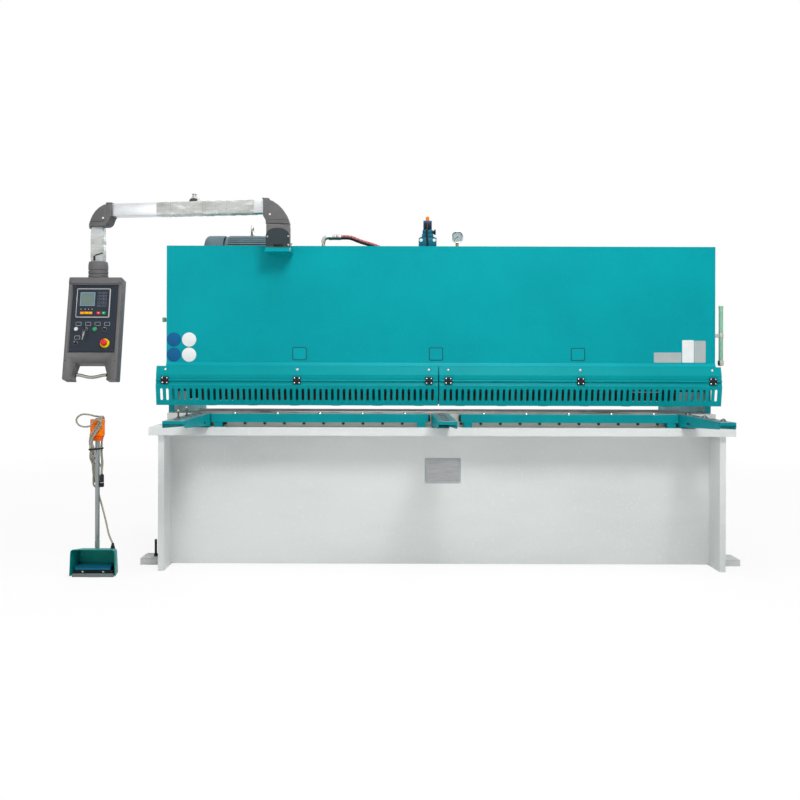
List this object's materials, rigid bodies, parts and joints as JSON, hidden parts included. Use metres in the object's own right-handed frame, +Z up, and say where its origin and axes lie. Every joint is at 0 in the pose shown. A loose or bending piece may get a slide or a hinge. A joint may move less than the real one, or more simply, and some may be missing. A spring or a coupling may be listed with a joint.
{
  "type": "hydraulic swing beam shear",
  "caption": "Hydraulic swing beam shear for cutting sheet metal, with finger guard flaps, ball supports, swinging control pendant and foot pedal.",
  "frame": {"origin": "on the floor, under the middle of the box of the whole machine without its cables", "axes": "+X along the blades to the operator's right, +Y from the operator to the rear, +Z up"},
  "size_m": [3.4266, 1.88, 1.885],
  "materials": {
    "teal_paint": "satin teal paint",
    "white_paint": "satin off-white paint",
    "blade_steel": "dark oiled steel",
    "ground_steel": "ground steel",
    "motor_grey": "dark grey-green paint",
    "arm_grey": "textured grey",
    "film_wrap": "aluminium under clear wrapping film",
    "panel_dark": "matt dark overlay",
    "black_plastic": "matt",
    "red_plastic": "gloss",
    "chrome": "polished",
    "pipe_green": "pale green",
    "orange_plastic": "satin",
    "pedal_grey": "cast",
    "tread_blue": "ribbed",
    "cable_grey": "matt sheath",
    "hose_rubber": "spiral guarded hose"
  },
  "bodies": {
    "machine": {"guard_strip_left": "teal_paint", "guard_strip_right": "teal_paint", "front_cover": "teal_paint", "swing_beam": "teal_paint", "hold_down_beam": "teal_paint", "oil_tank": "teal_paint", "ball_rail_left": "teal_paint", "ball_rail_right": "teal_paint", "support_arm_left": "teal_paint", "support_arm_middle": "teal_paint", "support_arm_right": "teal_paint", "arm_bracket": "teal_paint", "valve_stack": "teal_paint", "pedal_hood": "teal_paint", "side_plate_left": "white_paint", "side_plate_right": "white_paint", "bed_top_plate": "white_paint", "front_apron": "white_paint", "bed_web": "white_paint", "work_table": "white_paint", "rear_cross_member": "white_paint", "lower_blade": "blade_steel", "upper_blade": "blade_steel", "back_gauge_arm_left": "blade_steel", "back_gauge_arm_right": "blade_steel", "hose_elbow": "blade_steel", "back_gauge_bar": "ground_steel", "back_gauge_shaft": "ground_steel", "pedal_pole": "ground_steel", "motor": "motor_grey", "pump": "motor_grey", "arm_base": "arm_grey", "pedal_switch_box": "black_plastic", "cable_connector": "black_plastic", "pressure_gauge": "chrome", "side_pipe": "pipe_green", "side_fitting": "pipe_green", "hook_box": "orange_plastic", "pedal_base": "pedal_grey", "pedal_cable": "cable_grey", "pedal_cable_hank": "cable_grey", "pressure_hose": "hose_rubber", "arm_base_cover": "black_plastic", "pedal_cable_loop": "cable_grey"},
    "guard_left": {"guard_flap_left": "teal_paint"},
    "guard_right": {"guard_flap_right": "teal_paint"},
    "pendant_arm": {"arm_elbow": "arm_grey", "arm_tube": "film_wrap", "drop_elbow": "arm_grey"},
    "pendant": {"drop_tube": "film_wrap", "pendant_neck": "arm_grey", "pendant_housing": "arm_grey", "pendant_panel": "panel_dark", "controller": "black_plastic", "emergency_stop": "red_plastic", "pendant_handle": "chrome"},
    "pedal": {"pedal_tread": "tread_blue"}
  },
  "joints": [
    {"name": "guard_left_lift", "type": "hinge", "parent": "machine", "child": "guard_left", "pos_m": [-0.53501, -0.261, 0.938], "axis": [-1, 0, 0], "range_deg": [0, 90]},
    {"name": "guard_right_lift", "type": "hinge", "parent": "machine", "child": "guard_right", "pos_m": [0.89449, -0.261, 0.938], "axis": [-1, 0, 0], "range_deg": [0, 90]},
    {"name": "arm_swing", "type": "hinge", "parent": "machine", "child": "pendant_arm", "pos_m": [-0.62316, -0.29, 1.7135], "axis": [0, 0, 1], "range_deg": [-10, 110]},
    {"name": "pendant_swivel", "type": "hinge", "parent": "pendant_arm", "child": "pendant", "pos_m": [-1.57634, -0.12707, 1.69], "axis": [0, 0, 1], "range_deg": [-60, 60]},
    {"name": "pedal_press", "type": "hinge", "parent": "machine", "child": "pedal", "pos_m": [-1.48566, -0.43, 0.045], "axis": [1, 0, 0], "range_deg": [0, 6], "stiffness_Nm_per_rad": 30, "springref_deg": -3.44}
  ]
}
